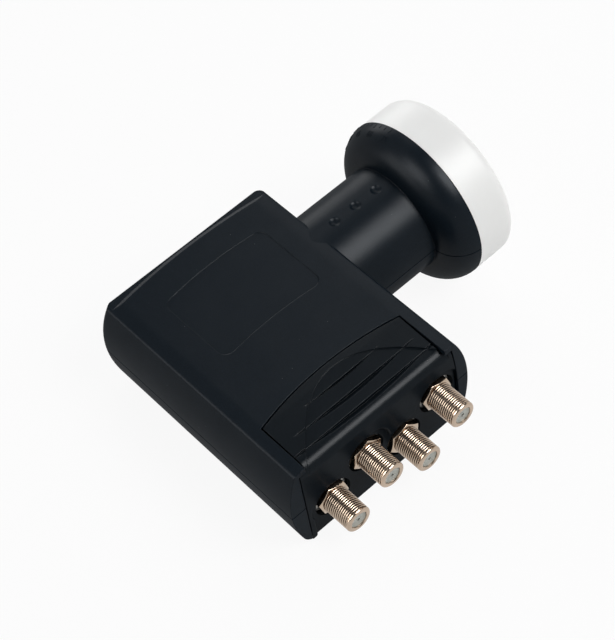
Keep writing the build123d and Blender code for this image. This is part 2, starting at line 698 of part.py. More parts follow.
def horn():
    """Waveguide and corrugated horn, turned about the neck's axis."""
    radius = HORN_RIM_RADIUS
    outline = [(GUIDE_OUTER_END, 0), (GUIDE_OUTER_END, GUIDE_RADIUS), (HORN_CONE_BACK, GUIDE_RADIUS)]
    outline += [(HORN_RIM_BACK, radius), (HORN_FRONT, radius)]
    for depth in HORN_GROOVE_DEPTHS:
        floor = HORN_FRONT - depth
        radius -= HORN_RING_WALL
        outline += [(HORN_FRONT, radius), (floor, radius)]
        radius -= HORN_GROOVE
        outline += [(floor, radius), (HORN_FRONT, radius)]
    outline += [(HORN_FRONT, HORN_MOUTH_RADIUS + HORN_RING_WALL / 2), (HORN_RIM_BACK, HORN_MOUTH_RADIUS)]
    outline += [(HORN_CONE_BACK, GUIDE_BORE), (GUIDE_END, GUIDE_BORE), (GUIDE_END, 0)]
    return turned(Polyline(*outline, close=True))


def cover_screw_places():
    """Screws beside the tray's walls, and at the front between the connectors."""
    side = TRAY_INNER_HALF - COVER_SCREW_INSET
    front = TRAY_INNER_FRONT + COVER_SCREW_INSET
    rows = (COVER_SCREW_MIDDLE, TRAY_INNER_BACK - COVER_SCREW_INSET)
    places = [(BODY_MIDDLE + s * side, y) for y in rows for s in (-1, 1)]
    for i in range(0, CONNECTOR_COUNT - 1, 2):
        places.append((CONNECTORS[i][0] + CONNECTOR_PITCH / 2, front))
    return places


def probe_runs():
    """Where the two probe pins pass through the waveguide's back wall, as (y, z)."""
    return (0.0, PROBE_RISE), (-PROBE_RISE, 0.0)


def horn_casting():
    tray = wide_block(TRAY_HALF_WIDTH, TRAY_FRONT, TRAY_BACK, TRAY_BOTTOM, TRAY_TOP)
    tray += [rod_y(CONNECTOR_BOSS_RADIUS, TRAY_FRONT, TRAY_INNER_FRONT, x, z) for x, z in CONNECTORS]
    tray -= wide_block(TRAY_INNER_HALF, TRAY_INNER_FRONT, TRAY_INNER_BACK, FLOOR_TOP, TRAY_TOP + TRAY_WALL)
    wall_x = BODY_MIDDLE + TRAY_HALF_WIDTH
    tray -= rod_x(GUIDE_BORE, GUIDE_END, wall_x + TRAY_WALL)
    casting = tray + horn()
    for x, y in cover_screw_places():
        casting += rod_z(COVER_BOSS_RADIUS, FLOOR_TOP - TRAY_FLOOR / 2, TRAY_TOP, x, y)
        casting -= rod_z(COVER_SCREW_RADIUS + FIT_CLEARANCE, TRAY_TOP - COVER_SCREW_LENGTH, TRAY_TOP, x, y)
    for dx, y in BOARD_SCREW_PLACES:
        x = BODY_MIDDLE + dx
        casting += rod_z(BOARD_BOSS_RADIUS, FLOOR_TOP - TRAY_FLOOR / 2, BOARD_BOTTOM, x, y)
        hole_low = BOARD_TOP - BOARD_SCREW_LENGTH - FIT_CLEARANCE
        casting -= rod_z(BOARD_SCREW_RADIUS + FIT_CLEARANCE, hole_low, BOARD_BOTTOM, x, y)
    for x, z in CONNECTORS:
        shank_end = TRAY_FRONT + SHANK_LENGTH + FIT_CLEARANCE
        casting -= rod_y(SHANK_RADIUS + FIT_CLEARANCE, TRAY_FRONT, shank_end, x, z)
        tail_end = TRAY_INNER_FRONT + TRAY_WALL
        casting -= rod_y(TAIL_INSULATOR_RADIUS + FIT_CLEARANCE, TRAY_FRONT, tail_end, x, z)
    for y, z in probe_runs():
        casting -= rod_x(BUSH_RADIUS + FIT_CLEARANCE / 2, GUIDE_OUTER_END, GUIDE_END, y, z)
    return casting


def cover_gasket():
    ring = wide_block(TRAY_HALF_WIDTH, TRAY_FRONT, TRAY_BACK, TRAY_TOP, COVER_BOTTOM)
    hollow = wide_block(TRAY_INNER_HALF, TRAY_INNER_FRONT, TRAY_INNER_BACK, TRAY_TOP, COVER_BOTTOM)
    ring -= hollow
    for x, y in cover_screw_places():
        ring += rod_z(COVER_BOSS_RADIUS, TRAY_TOP, COVER_BOTTOM, x, y) & hollow
        ring -= rod_z(COVER_SCREW_RADIUS + FIT_CLEARANCE, TRAY_TOP, COVER_BOTTOM, x, y)
    return ring


def screw_head_cone(x, y, grow):
    """A countersunk head, flush with the cover's top."""
    low = COVER_SCREW_RADIUS + grow
    high = COVER_SCREW_HEAD + grow
    height = COVER_SCREW_HEAD - COVER_SCREW_RADIUS
    return Pos(x, y, COVER_TOP - height / 2) * Cone(low, high, height)


def tray_cover():
    cover = wide_block(TRAY_HALF_WIDTH, TRAY_FRONT, TRAY_BACK, COVER_BOTTOM, COVER_TOP)
    for x, y in cover_screw_places():
        cover -= rod_z(COVER_SCREW_RADIUS + FIT_CLEARANCE, COVER_BOTTOM, COVER_TOP, x, y)
        cover -= screw_head_cone(x, y, FIT_CLEARANCE)
    return cover


def cover_screws():
    screws = []
    low = TRAY_TOP - COVER_SCREW_LENGTH + COVER_THICK
    for x, y in cover_screw_places():
        screws.append(rod_z(COVER_SCREW_RADIUS, low, COVER_TOP, x, y) + screw_head_cone(x, y, 0.0))
    return screws


def main_board():
    half = TRAY_INNER_HALF - BOARD_CLEARANCE
    front = TRAY_INNER_FRONT + COVER_SCREW_INSET + COVER_BOSS_RADIUS + BOARD_CLEARANCE
    back = TRAY_INNER_BACK - BOARD_CLEARANCE
    board = wide_block(half, front, back, BOARD_BOTTOM, BOARD_TOP)
    reach = GUIDE_RADIUS + BOARD_CLEARANCE
    board -= block(GUIDE_OUTER_END - BOARD_CLEARANCE, FAR, -reach, reach, -FAR, FAR)
    notch = COVER_BOSS_RADIUS + 2 * BOARD_CLEARANCE
    for x, y in cover_screw_places():
        if y > front:
            board -= block(x - notch, x + notch, y - notch, y + notch, BOARD_BOTTOM, BOARD_TOP)
    for dx, y in BOARD_SCREW_PLACES:
        board -= rod_z(BOARD_SCREW_RADIUS + FIT_CLEARANCE, BOARD_BOTTOM, BOARD_TOP, BODY_MIDDLE + dx, y)
    return board


def board_screws():
    screws = []
    for dx, y in BOARD_SCREW_PLACES:
        x = BODY_MIDDLE + dx
        shank = rod_z(BOARD_SCREW_RADIUS, BOARD_TOP - BOARD_SCREW_LENGTH, BOARD_TOP, x, y)
        screws.append(shank + rod_z(BOARD_SCREW_HEAD, BOARD_TOP, BOARD_TOP + BOARD_SCREW_HEAD_HEIGHT, x, y))
    return screws


def bent_pin(points):
    """A round pin that runs straight from point to point."""
    pin = None
    for start, end in zip(points, points[1:]):
        run = Vector(*end) - Vector(*start)
        rod = Plane(start, z_dir=run) * Cylinder(
            PROBE_RADIUS, run.length, align=(Align.CENTER, Align.CENTER, Align.MIN)
        )
        pin = rod if pin is None else pin + rod
    for corner in points[1:-1]:
        pin += Pos(*corner) * Sphere(PROBE_RADIUS)
    return pin


def vertical_probe():
    foot = GUIDE_OUTER_END - PROBE_FOOT
    reach = GUIDE_END + VERTICAL_PROBE_DEPTH
    y, z = probe_runs()[0]
    return bent_pin([(foot, y, BOARD_TOP), (foot, y, z), (reach, y, z), (reach, y, PROBE_TIP)])


def horizontal_probe():
    foot = GUIDE_OUTER_END - PROBE_FOOT
    reach = GUIDE_END + HORIZONTAL_PROBE_DEPTH
    y, z = probe_runs()[1]
    return bent_pin([(foot, y, BOARD_TOP), (foot, y, z), (reach, y, z), (reach, -PROBE_TIP, z)])


def probe_bushes():
    bushes = []
    for y, z in probe_runs():
        bush = rod_x(BUSH_RADIUS, GUIDE_OUTER_END, GUIDE_END, y, z)
        bushes.append(bush - rod_x(PROBE_RADIUS + FIT_CLEARANCE / 2, GUIDE_OUTER_END, GUIDE_END, y, z))
    return bushes


def chip(dx, y, width, length, height):
    """A package that sits on the board."""
    x = BODY_MIDDLE + dx
    return block(x - width / 2, x + width / 2, y - length / 2, y + length / 2, BOARD_TOP, BOARD_TOP + height)


def board_parts():
    """Packages on the circuit board, by node name."""
    regulator_sides = [CONNECTOR_FIRST + i * CONNECTOR_PITCH for i in range(CONNECTOR_COUNT - 1)]
    capacitor_sides = [CAPACITOR_FIRST + i * CAPACITOR_PITCH for i in range(CAPACITOR_COUNT)]
    return {
        "low_noise_transistors": [chip(TRANSISTOR_SIDE, y, *TRANSISTOR_SIZE) for y in TRANSISTOR_ROWS],
        "mixer_chips": [chip(MIXER_SIDE, y, *MIXER_SIZE) for y in MIXER_ROWS],
        "matrix_switch_chip": [chip(*SWITCH_PLACE, *SWITCH_SIZE)],
        "reference_crystal": [chip(*CRYSTAL_PLACE, *CRYSTAL_SIZE)],
        "regulators": [chip(dx, REGULATOR_ROW, *REGULATOR_SIZE) for dx in regulator_sides],
        "filter_capacitors": [chip(dx, CAPACITOR_ROW, *CAPACITOR_SIZE) for dx in capacitor_sides],
    }


def connector_body(x, z):
    """Barrel with a rounded mouth and a plain shank that is pressed into the casting."""
    barrel = rod_y(BARREL_RADIUS, CONNECTOR_FACE, NUT_FACE, x, z)
    mouth = barrel.edges().filter_by(GeomType.CIRCLE).sort_by(Axis.Y)[0]
    barrel = fillet(mouth, BARREL_LIP)
    barrel += rod_y(NUT_SEAT_RADIUS, NUT_FACE, TRAY_FRONT, x, z)
    barrel += rod_y(SHANK_RADIUS, TRAY_FRONT, TRAY_FRONT + SHANK_LENGTH, x, z)
    barrel -= rod_y(BARREL_BORE, CONNECTOR_FACE, TRAY_FRONT + SHANK_LENGTH / 2, x, z)
    barrel -= rod_y(TAIL_INSULATOR_RADIUS + FIT_CLEARANCE, CONNECTOR_FACE, TRAY_FRONT + SHANK_LENGTH, x, z)
    return barrel


def connector_insulator(x, z):
    front = CONNECTOR_FACE + INSULATOR_RECESS
    step = TRAY_FRONT + SHANK_LENGTH / 2
    insulator = rod_y(BARREL_BORE - FIT_CLEARANCE / 2, front, step, x, z)
    insulator += rod_y(TAIL_INSULATOR_RADIUS, step - FIT_CLEARANCE, TRAY_INNER_FRONT, x, z)
    insulator -= rod_y(CONTACT_SLEEVE_RADIUS + FIT_CLEARANCE / 2, front + INSULATOR_LIP, step, x, z)
    insulator -= rod_y(CONTACT_RADIUS + FIT_CLEARANCE, front, TRAY_INNER_FRONT, x, z)
    return insulator


def connector_contact(x, z):
    """Spring sleeve behind the insulator's mouth, with a tail that bends to the board."""
    front = CONNECTOR_FACE + INSULATOR_RECESS + INSULATOR_LIP + FIT_CLEARANCE
    step = TRAY_FRONT + SHANK_LENGTH / 2 - FIT_CLEARANCE
    board_front = TRAY_INNER_FRONT + COVER_SCREW_INSET + COVER_BOSS_RADIUS + BOARD_CLEARANCE
    tail = board_front + CONTACT_TAIL
    sleeve = rod_y(CONTACT_SLEEVE_RADIUS, front, step, x, z)
    sleeve -= rod_y(CONTACT_MOUTH, front, step - CONTACT_SLEEVE_RADIUS, x, z)
    above = z > BOARD_TOP
    landing = BOARD_TOP if above else BOARD_BOTTOM
    sleeve += rod_y(CONTACT_RADIUS, step - CONTACT_RADIUS, tail, x, z)
    sleeve += Pos(x, tail, z) * Sphere(CONTACT_RADIUS)
    sleeve += rod_z(CONTACT_RADIUS, min(landing, z), max(landing, z), x, tail)
    return sleeve


def connector_nut(x, z, turn):
    hexagon = RegularPolygon(NUT_ACROSS_FLATS / 2, 6, major_radius=False, rotation=turn + 30)
    nut = Pos(x, NUT_REAR, z) * extrude(Plane.XZ * hexagon, NUT_THICK)
    across_corners = NUT_ACROSS_FLATS / cos(radians(30))
    trim = NUT_ACROSS_FLATS / 2 + NUT_CHAMFER / 4
    dome = Pos(x, NUT_FACE + NUT_THICK / 2, z) * Rot(90, 0, 0) * Cylinder(across_corners / 2, NUT_THICK)
    front = dome.edges().filter_by(GeomType.CIRCLE).sort_by(Axis.Y)[0]
    nut &= chamfer(front, NUT_CHAMFER, across_corners / 2 - trim + NUT_CHAMFER)
    nut -= rod_y(NUT_BORE, NUT_FACE, NUT_REAR, x, z)
    return nut


def connector_washer(x, z):
    washer = rod_y(WASHER_RADIUS, TRAY_FRONT - WASHER_THICK, TRAY_FRONT, x, z)
    return washer - rod_y(NUT_BORE, TRAY_FRONT - WASHER_THICK, TRAY_FRONT, x, z)


def save(name, shape):
    solids = shape if isinstance(shape, list) else [shape]
    found = [s for item in solids for s in item.solids()]
    result = found[0] if len(found) == 1 else Compound(found)
    result.label = name
    export_step(result, os.path.join("parts", name + ".step"))


def main():
    os.makedirs("parts", exist_ok=True)
    upper, lower = shells()
    save("upper_shell", upper)
    save("lower_shell", lower)
    save("weather_shield", weather_shield())
    save("feed_cap", feed_cap())
    save("cap_seal", cap_seal())
    save("horn_casting", horn_casting())
    save("tray_cover", tray_cover())
    save("cover_gasket", cover_gasket())
    save("cover_screws", cover_screws())
    save("main_board", main_board())
    save("board_screws", board_screws())
    save("vertical_probe", vertical_probe())
    save("horizontal_probe", horizontal_probe())
    save("probe_bushes", probe_bushes())
    for name, packages in board_parts().items():
        save(name, packages)
    for number, (x, z) in enumerate(CONNECTORS, start=1):
        save(f"connector_body_{number}", connector_body(x, z))
        save(f"connector_insulator_{number}", connector_insulator(x, z))
        save(f"connector_contact_{number}", connector_contact(x, z))
        save(f"connector_nut_{number}", connector_nut(x, z, NUT_TURNS[number - 1]))
        save(f"connector_washer_{number}", connector_washer(x, z))


if __name__ == "__main__":
    main()
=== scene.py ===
import json
from math import cos, pi, radians, sin

import bpy
from bpy.props import FloatProperty, FloatVectorProperty, IntProperty, PointerProperty
from mathutils import Matrix, Vector


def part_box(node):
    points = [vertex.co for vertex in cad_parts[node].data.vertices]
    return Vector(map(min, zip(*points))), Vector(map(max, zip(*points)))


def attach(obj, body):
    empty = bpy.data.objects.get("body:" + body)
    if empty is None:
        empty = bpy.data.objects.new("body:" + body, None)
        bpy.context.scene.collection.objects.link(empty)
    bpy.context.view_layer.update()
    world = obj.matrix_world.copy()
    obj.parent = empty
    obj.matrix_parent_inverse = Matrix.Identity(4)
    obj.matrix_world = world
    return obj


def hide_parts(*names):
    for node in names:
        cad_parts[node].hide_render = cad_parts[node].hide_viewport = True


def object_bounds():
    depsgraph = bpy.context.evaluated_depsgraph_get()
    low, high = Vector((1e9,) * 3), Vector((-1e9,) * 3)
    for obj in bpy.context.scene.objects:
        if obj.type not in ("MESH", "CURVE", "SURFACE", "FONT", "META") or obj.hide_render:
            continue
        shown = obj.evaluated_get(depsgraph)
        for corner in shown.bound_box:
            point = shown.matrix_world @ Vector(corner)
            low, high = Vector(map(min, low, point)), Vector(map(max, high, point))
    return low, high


bl_info = {
    "name": "Satellite LNB dressing",
    "version": (1, 0, 0),
    "blender": (4, 5, 0),
    "location": "View3D > Sidebar > LNB",
    "description": "Dresses a four-output satellite LNB with its threads, scale marks and finishes",
    "category": "Object",
}

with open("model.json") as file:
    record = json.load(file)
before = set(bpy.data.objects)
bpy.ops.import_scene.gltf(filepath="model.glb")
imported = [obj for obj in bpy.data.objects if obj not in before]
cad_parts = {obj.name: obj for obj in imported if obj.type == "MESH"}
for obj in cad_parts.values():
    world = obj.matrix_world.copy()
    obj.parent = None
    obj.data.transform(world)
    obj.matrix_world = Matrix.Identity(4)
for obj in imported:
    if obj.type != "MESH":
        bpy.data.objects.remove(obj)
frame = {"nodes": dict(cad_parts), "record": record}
CAD_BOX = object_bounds()
MM = 0.001

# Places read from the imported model
OUTPUTS = [m for m in frame["record"]["mounts"] if m["name"].startswith("output")]
OUTPUT_AXES = [Vector((m["pos_m"][0], 0.0, m["pos_m"][2])) for m in OUTPUTS]
CREST_RADIUS = OUTPUTS[0]["dims"]["r_mm"] * MM
FACE_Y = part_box("connector_body_1")[0][1]
SHANK_END_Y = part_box("connector_body_1")[1][1]
NUT_FACE_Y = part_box("connector_nut_1")[0][1]
WASHER_BACK_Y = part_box("connector_washer_1")[1][1]
FLARE_RIM_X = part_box("lower_shell")[1][0]
FLARE_RIM_RADIUS = -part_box("lower_shell")[0][2]

# The photograph's camera, as the focal length in pixels of a frame 640 high
FOCAL_PIXELS = 1960.6
FRAME_HEIGHT = 640
CAMERA_PLACE = (-0.2408, -0.3294, 0.5155)
CAMERA_RIGHT = (0.7378, -0.6650, -0.1158)
CAMERA_UP = (0.5930, 0.5564, 0.5820)
CAMERA_BACK = (-0.3226, -0.4981, 0.8049)

# How far the softboxes stand from the part in metres, with the matt lamp behind the gloss lamp
GLOSS_LAMP_DISTANCE = 0.9
MATT_LAMP_DISTANCE = 0.92

# The softboxes: the direction they stand in, their size in metres, and their matt and gloss power in watts
SOFTBOXES = {
    "Key softbox": ((0.32, -0.53, 0.78), 0.5, 4.4, 11.8),
    "Left softbox": ((-0.71, 0.0, 0.71), 0.5, 1.0, 6.0),
    "Top left softbox": ((-0.4, 0.5, 0.77), 0.9, 0.2, 1.5),
    "Low left softbox": ((-0.87, 0.42, 0.26), 0.6, 0.3, 4.0),
    "Right softbox": ((0.55, 0.45, 0.70), 0.55, 1.6, 2.2),
    "Back softbox": ((0.33, 0.91, 0.25), 0.45, 1.2, 3.2),
}

# The floor's size in metres, and the share of plain white that it shows to the camera and in reflections
FLOOR_SIZE = 12
FLOOR_GLOW = 0.92

# Heights on the sky, from 0 at the horizon to 1 overhead, where the white walls end and the ceiling starts
WALL_TOP = 0.12
CEILING_START = 0.45

# One pitch of the thread, as shares of the pitch and of the depth, with a round crest
THREAD_PROFILE = ((0.0, 0.0), (0.3, 0.0), (0.42, 0.52), (0.58, 0.85), (0.74, 1.0), (0.84, 1.0), (1.0, 0.0))

# Share of the thread's depth, from the crest down, that keeps its bright plating; deeper faces take a darker
# colour, painted shade in the thread's roots
BRIGHT_SHARE = 0.7

# How finely the round pieces are divided
THREAD_STEPS = 56
NOSE_STEPS = 64
SHANK_STEPS = 48
ROUNDING_STEPS = 8

# The barrel behind its nose: the groove before the thread, the wall's overlap and the steps of the shank
NOSE_GROOVE = 0.25 * MM
WALL_OVERLAP = 0.2 * MM
SEAT_STEP = 0.5 * MM
SHANK_STEP = 0.06 * MM

# Vertices closer together than this are merged, on new pieces and on copies of CAD nodes
MERGE_DISTANCE = 0.002 * MM
CAD_MERGE_DISTANCE = 0.001 * MM

# Edges of a nut that are sharper than this are rounded, in so many steps
NUT_SHARP_ANGLE = radians(25)
NUT_EDGE_STEPS = 3

# Where the angle scale lies on the flare's round, as the rise from the neck to the rim
LONG_MARK_FOOT = radians(77)
SHORT_MARK_FOOT = radians(79.5)
MARK_HEAD = radians(86)
NUMERAL_PLACE = radians(63.5)

# How much thinner the numerals' strokes are than the typeface gives
STROKE_THINNING = 0.035 * MM

# CAD nodes inside the housing, by the finish that they take
CAST_NODES = ("horn_casting", "tray_cover")
RUBBER_NODES = ("cap_seal", "cover_gasket")
SCREW_NODES = ("cover_screws", "board_screws")
PROBE_NODES = ("vertical_probe", "horizontal_probe")
CHIP_NODES = ("low_noise_transistors", "mixer_chips", "matrix_switch_chip", "regulators")


def linear(code):
    """An sRGB hex colour as linear red, green, blue and alpha."""
    parts = [int(code[i : i + 2], 16) / 255 for i in (1, 3, 5)]
    return (*[p / 12.92 if p <= 0.04045 else ((p + 0.055) / 1.055) ** 2.4 for p in parts], 1.0)


def length(name, description, millimetres):
    """A property for a length, given in millimetres."""
    return FloatProperty(
        name=name, description=description, default=millimetres * MM, unit="LENGTH", precision=5
    )


def angle(name, description, degrees):
    """A property for an angle, given in degrees."""
    return FloatProperty(name=name, description=description, default=radians(degrees), subtype="ANGLE")


def colour(name, description, code):
    """A property for a colour, given as sRGB hex."""
    return FloatVectorProperty(
        name=name, description=description, default=linear(code), size=4, subtype="COLOR", min=0, max=1
    )


class LnbSizes(bpy.types.PropertyGroup):
    """Sizes of the pieces that the dressing adds"""

    thread_pitch: length("Thread pitch", "From crest to crest on the outputs", 0.794)
    thread_depth: length("Thread depth", "Height of a crest above the root", 0.38)
    nose_length: length("Nose length", "Plain nose in front of the first thread", 1.15)
    nose_rounding: length("Nose rounding", "Rounding of the nose's outer edge", 0.8)
    bore_radius: length("Bore radius", "Mouth of an output", 3.05)
    tail_radius: length("Tail radius", "Narrow end of an output's bore", 2.5)
    mouth_chamfer: length("Mouth chamfer", "Chamfer inside the mouth of an output", 0.22)
    nut_edge: length("Nut edge", "Rounding of the nuts' edges", 0.16)
    mark_height: length("Mark height", "How far the scale stands out of the flare", 0.13)
    mark_width: length("Mark width", "Width of a scale mark", 0.34)
    numeral_size: length("Numeral size", "Size of the scale's numerals", 3.3)
    flare_rounding: length("Flare rounding", "Radius of the flare's round", 10.9)
    mark_step: angle("Mark step", "Turn from mark to mark", 5)
    mark_first: angle("First mark", "Turn of the first mark from the top", 15)
    mark_count: IntProperty(name="Marks", description="Number of scale marks", default=13, min=1)
    long_mark_every: IntProperty(name="Long mark every", description="Marks per numeral", default=3, min=1)
    floor_tilt: angle("Floor tilt", "Slope of the floor that the part lies on", 5.85)
    floor_gap: length("Floor gap", "Room between the flare's rim and the floor", 0.1)


class LnbColours(bpy.types.PropertyGroup):
    """Colours of the finishes that show"""

    housing: colour("Housing", "Blue-black housing", "#10181f")
    shield: colour("Shield", "Blue-black weather shield", "#0f151a")
    cap: colour("Cap", "White feed cap", "#f2f2f0")
    nickel: colour("Nickel", "Warm nickel plating", "#b9a693")
    # The roots' darker nickel is painted shade in the hollows of the thread
    root_shade: colour("Root shade", "Nickel in the thread roots", "#5a4d44")
    washer: colour("Washer", "Bright plated washers", "#cfcdc8")
    insulator: colour("Insulator", "Pale plastic in the outputs", "#a3a49c")
    floor: colour("Floor", "Studio floor", "#f4f4f4")


def leave_edit_mode():
    """Back to object mode with nothing selected."""
    if bpy.context.object and bpy.context.object.mode != "OBJECT":
        bpy.ops.object.mode_set(mode="OBJECT")
    bpy.ops.object.select_all(action="DESELECT")


def pick(*pieces):
    """Selects pieces and makes the first one active."""
    leave_edit_mode()
    for piece in pieces:
        piece.select_set(True)
    bpy.context.view_layer.objects.active = pieces[0]


def draw_profile(name, points):
    """Draws a chain of edges, starting from a plane that is merged to one vertex."""
    leave_edit_mode()
    bpy.ops.mesh.primitive_plane_add(size=MM)
    piece = bpy.context.object
    piece.name = piece.data.name = name
    bpy.ops.object.mode_set(mode="EDIT")
    bpy.ops.mesh.select_all(action="SELECT")
    bpy.ops.mesh.merge(type="CENTER")
    bpy.ops.transform.translate(value=points[0])
    for start, end in zip(points, points[1:]):
        step = Vector(end) - Vector(start)
        bpy.ops.mesh.extrude_vertices_move(TRANSFORM_OT_translate={"value": step})
    return piece


def close_mesh():
    """Merges doubles and turns the faces outwards, in edit mode."""
    bpy.ops.mesh.select_all(action="SELECT")
    bpy.ops.mesh.remove_doubles(threshold=MERGE_DISTANCE)
    bpy.ops.mesh.normals_make_consistent(inside=False)


def turned_ring(name, outline, steps):
    """Spins a closed outline of (radius, y) about the Y axis."""
    points = [(radius, y, 0.0) for radius, y in (*outline, outline[0])]
    piece = draw_profile(name, points)
    bpy.ops.mesh.select_all(action="SELECT")
    bpy.ops.mesh.spin(steps=steps, angle=2 * pi, center=(0, 0, 0), axis=(0, 1, 0))
    close_mesh()
    leave_edit_mode()
    return piece


def merged_copy(name, cad_node):
    """A copy of a CAD node's mesh with its loose triangles merged."""
    piece = bpy.data.objects.new(name, frame["nodes"][cad_node].data.copy())
    bpy.context.scene.collection.objects.link(piece)
    pick(piece)
    if piece.data.has_custom_normals:
        bpy.ops.mesh.customdata_custom_splitnormals_clear()
    bpy.ops.object.mode_set(mode="EDIT")
    bpy.ops.mesh.select_all(action="SELECT")
    bpy.ops.mesh.remove_doubles(threshold=CAD_MERGE_DISTANCE)
    leave_edit_mode()
    return piece


def placed_copy(piece, name, place):
    """A copy with its own mesh, moved in its mesh."""
    copy = bpy.data.objects.new(name, piece.data.copy())
    bpy.context.scene.collection.objects.link(copy)
    copy.data.transform(Matrix.Translation(place))
    return copy


def smooth(piece, degrees):
    """Smooth shading, with edges over an angle kept sharp."""
    pick(piece)
    bpy.ops.object.shade_smooth_by_angle(angle=radians(degrees))


def finish_piece(piece, body, slot, *materials):
    """Gives a piece its finish and its body. Its slot of the record is passed in but not used."""
    piece.data.materials.clear()
    for material in materials:
        piece.data.materials.append(material)
    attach(piece, body)


def finish_nodes(names, material):
    """Gives CAD nodes their finish."""
    for name in names:
        mesh = frame["nodes"][name].data
        mesh.materials.clear()
        mesh.materials.append(material)


def node(tree, kind, inputs=None, stops=(), **settings):
    """Adds a node; inputs holds values or the output sockets to link from, stops a ramp's two colours."""
    made = tree.nodes.new(kind)
    for key, value in settings.items():
        setattr(made, key, value)
    for key, value in (inputs or {}).items():
        if isinstance(value, bpy.types.NodeSocket):
            tree.links.new(value, made.inputs[key])
        else:
            made.inputs[key].default_value = value
    for element, (place, tone) in zip(made.color_ramp.elements if stops else (), stops):
        element.position = place
        element.color = tone
    return made


def shaded(base, share):
    """A colour made lighter or darker by a share."""
    return (*[min(1.0, c * share) for c in base[:3]], 1.0)


def new_material(name):
    """An empty material with its node tree and Object coordinates."""
    material = bpy.data.materials.new(name)
    material.use_nodes = True
    tree = material.node_tree
    tree.nodes.clear()
    coords = node(tree, "ShaderNodeTexCoord").outputs["Object"]
    return material, tree, coords


def close_material(material, tree, inputs):
    """Adds the shader and the output."""
    shader = node(tree, "ShaderNodeBsdfPrincipled", inputs)
    node(tree, "ShaderNodeOutputMaterial", {"Surface": shader.outputs["BSDF"]})
    return material


def eroded_plastic(name, base, shine, coat_ior, roughness, rounding, seam=0.0):
    """ASA from a spark-eroded mould: an even grain that half shades itself, so that only a share of the
    surface shines, soft flow marks in that shine, and a few light specks of dust. The grain is drawn coarser
    than a real one of 0.1 mm, so that the camera still sees it. A seam at z 0 loses most of its shine, as
    painted shade in the parting line's groove, over a little more than its own width, for the same reason."""
    grain_size = 0.45 * MM
    grain_depth = 0.014 * MM
    flow_size = 12 * MM
    dust_spacing = 5 * MM
    material, tree, coords = new_material(name)
    grain = node(tree, "ShaderNodeTexNoise", {"Vector": coords, "Scale": 1 / grain_size, "Detail": 2.0})
    flow = node(tree, "ShaderNodeTexNoise", {"Vector": coords, "Scale": 1 / flow_size, "Detail": 3.0})
    dust = node(tree, "ShaderNodeTexVoronoi", {
        "Vector": coords, "Scale": 1 / dust_spacing, "Randomness": 1.0
    })
    tone = node(tree, "ShaderNodeValToRGB", {"Fac": grain.outputs["Fac"]}, (
        (0.3, shaded(base, 0.86)), (0.7, shaded(base, 1.14))
    ))
    speck = node(tree, "ShaderNodeMapRange", {
        "Value": dust.outputs["Distance"],
        "From Min": 0.012,
        "From Max": 0.03,
        "To Min": 0.35,
        "To Max": 0.0,
    })
    dusty = node(tree, "ShaderNodeMix", {
        0: speck.outputs["Result"], 6: tone.outputs["Color"], 7: linear("#8a8d8f")
    }, data_type="RGBA")
    gloss = node(tree, "ShaderNodeMapRange", {
        "Value": flow.outputs["Fac"],
        "From Min": 0.3,
        "From Max": 0.7,
        "To Min": 0.93 * shine,
        "To Max": 1.07 * shine,
    })
    coat = gloss.outputs["Result"]
    # Painted shade along the parting line: near z 0 the coat's shine drops to a tenth, over a little more
    # than the groove's width, so that the seam reads dark
    if seam:
        height = node(tree, "ShaderNodeSeparateXYZ", {"Vector": coords})
        away = node(tree, "ShaderNodeMath", {0: height.outputs["Z"]}, operation="ABSOLUTE")
        seam_shade_mask = node(tree, "ShaderNodeMapRange", {
            "Value": away.outputs[0], "From Min": 0.6 * seam, "From Max": seam, "To Min": 0.1
        })
        seam_shaded_coat = node(tree, "ShaderNodeMath", {0: coat, 1: seam_shade_mask.outputs["Result"]}, operation="MULTIPLY")
        coat = seam_shaded_coat.outputs[0]
    edges = node(tree, "ShaderNodeBevel", {"Radius": rounding}, samples=8)
    bumps = node(tree, "ShaderNodeBump", {
        "Height": grain.outputs["Fac"], "Distance": grain_depth, "Normal": edges.outputs["Normal"]
    })
    return close_material(material, tree, {
        "Base Color": dusty.outputs[2],
        "Roughness": 0.6,
        "Specular IOR Level": 0.0,
        "Normal": bumps.outputs["Normal"],
        "Coat Weight": coat,
        "Coat Roughness": roughness,
        "Coat IOR": coat_ior,
        "Coat Normal": bumps.outputs["Normal"],
    })


def smooth_plastic(name, base, roughness, contrast, mottle_mm):
    """A moulded or rubbery surface: an even satin skin whose tone and shine drift a little."""
    grain_size = 0.3 * MM
    grain_depth = 0.004 * MM
    mottle_size = mottle_mm * MM
    material, tree, coords = new_material(name)
    grain = node(tree, "ShaderNodeTexNoise", {"Vector": coords, "Scale": 1 / grain_size, "Detail": 2.0})
    drift = node(tree, "ShaderNodeTexNoise", {"Vector": coords, "Scale": 1 / mottle_size, "Detail": 3.0})
    tone = node(tree, "ShaderNodeValToRGB", {"Fac": drift.outputs["Fac"]}, (
        (0.3, shaded(base, 1 - contrast)), (0.7, shaded(base, 1 + contrast))
    ))
    satin = node(tree, "ShaderNodeMapRange", {
        "Value": drift.outputs["Fac"], "To Min": roughness - 0.06, "To Max": roughness + 0.06
    })
    bumps = node(tree, "ShaderNodeBump", {"Height": grain.outputs["Fac"], "Distance": grain_depth})
    return close_material(material, tree, {
        "Base Color": tone.outputs["Color"],
        "Roughness": satin.outputs["Result"],
        "Specular IOR Level": 0.4,
        "Normal": bumps.outputs["Normal"],
    })


